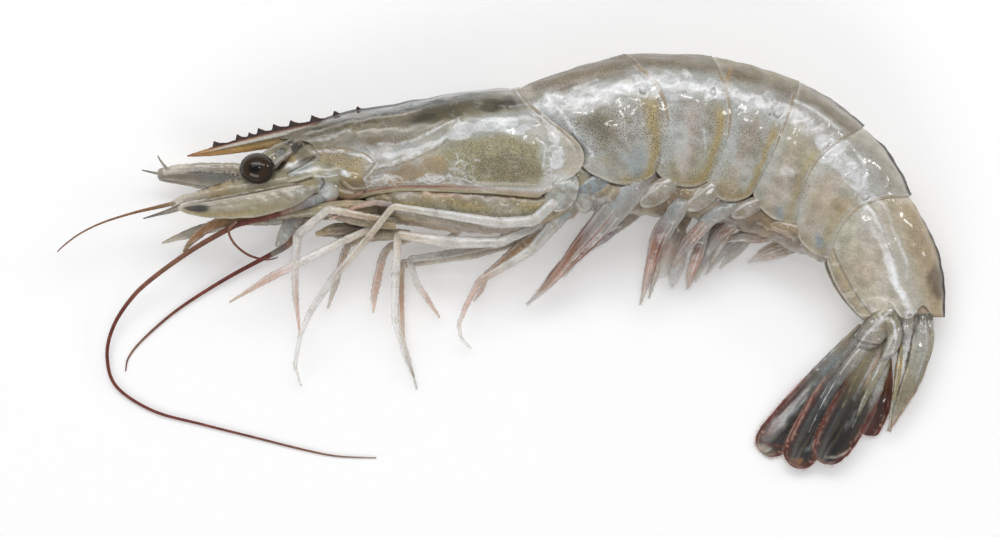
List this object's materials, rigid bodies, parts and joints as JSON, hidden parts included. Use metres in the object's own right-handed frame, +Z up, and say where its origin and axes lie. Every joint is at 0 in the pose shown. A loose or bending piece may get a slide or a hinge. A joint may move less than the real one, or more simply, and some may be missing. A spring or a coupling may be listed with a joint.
{
  "type": "whole head-on shrimp",
  "caption": "Raw shrimp with its head on, lying on one side: toothed rostrum, eyes, long antennae, shield, ringed curled tail, walking legs, swimming legs and tail fan.",
  "frame": {"origin": "middle of the box's bottom face, on the surface the animal lies on", "axes": "+X from head to tail, +Y from legs to back, +Z up from the right flank it lies on to the left flank"},
  "size_m": [0.1425, 0.0664, 0.0161],
  "materials": {
    "shell": "wet, slightly see-through grey-olive shell with fine brown speckles",
    "thorax_flesh": "moist yellow-brown flesh between the leg bases",
    "eye_black": "polished brown-black eye",
    "eyestalk_olive": "moist olive stalk",
    "joint_pale": "wet, pale, nearly white joint",
    "antenna_red": "dark red, smooth, paler at the tip",
    "antennule_tan": "wet tan with dark lines along it",
    "leg_pale": "wet, see-through whitish, pink at the tips",
    "swimmer_pink": "wet, see-through pink-brown with fine ribs",
    "tail_slate": "wet dark slate with maroon margins and gold ribs"
  },
  "bodies": {
    "root": {"abdomen_1": "shell", "abdomen_2": "shell", "abdomen_3": "shell", "abdomen_4": "shell", "abdomen_5": "shell", "abdomen_6": "shell", "antenna_base_left": "joint_pale", "antenna_base_right": "joint_pale", "antenna_scale_left": "antennule_tan", "antenna_scale_right": "antennule_tan", "antenna_whip_left": "antenna_red", "antenna_whip_right": "antenna_red", "antennule_stem_left": "antennule_tan", "antennule_stem_right": "antennule_tan", "antennule_whip_left_lower": "antennule_tan", "antennule_whip_left_upper": "antennule_tan", "antennule_whip_right_lower": "antennule_tan", "antennule_whip_right_upper": "antennule_tan", "carapace": "shell", "eye_left": "eye_black", "eye_right": "eye_black", "eyestalk_left": "eyestalk_olive", "eyestalk_right": "eyestalk_olive", "leg_left_1": "leg_pale", "leg_left_2": "leg_pale", "leg_left_3": "leg_pale", "leg_left_4": "leg_pale", "leg_left_5": "leg_pale", "leg_right_1": "leg_pale", "leg_right_2": "leg_pale", "leg_right_3": "leg_pale", "leg_right_4": "leg_pale", "leg_right_5": "leg_pale", "maxilliped_left": "antennule_tan", "maxilliped_right": "antennule_tan", "mouth_frame": "thorax_flesh", "mouth_leaf": "leg_pale", "palp_whip": "antenna_red", "pleopod_left_1": "swimmer_pink", "pleopod_left_2": "swimmer_pink", "pleopod_left_3": "swimmer_pink", "pleopod_left_4": "swimmer_pink", "pleopod_left_5": "swimmer_pink", "pleopod_right_1": "swimmer_pink", "pleopod_right_2": "swimmer_pink", "pleopod_right_3": "swimmer_pink", "pleopod_right_4": "swimmer_pink", "pleopod_right_5": "swimmer_pink", "telson": "shell", "thorax_underside": "thorax_flesh", "uropod_base_left": "shell", "uropod_base_right": "shell", "uropod_inner_left": "tail_slate", "uropod_inner_right": "tail_slate", "uropod_outer_left": "tail_slate", "uropod_outer_right": "tail_slate"}
  },
  "joints": []
}
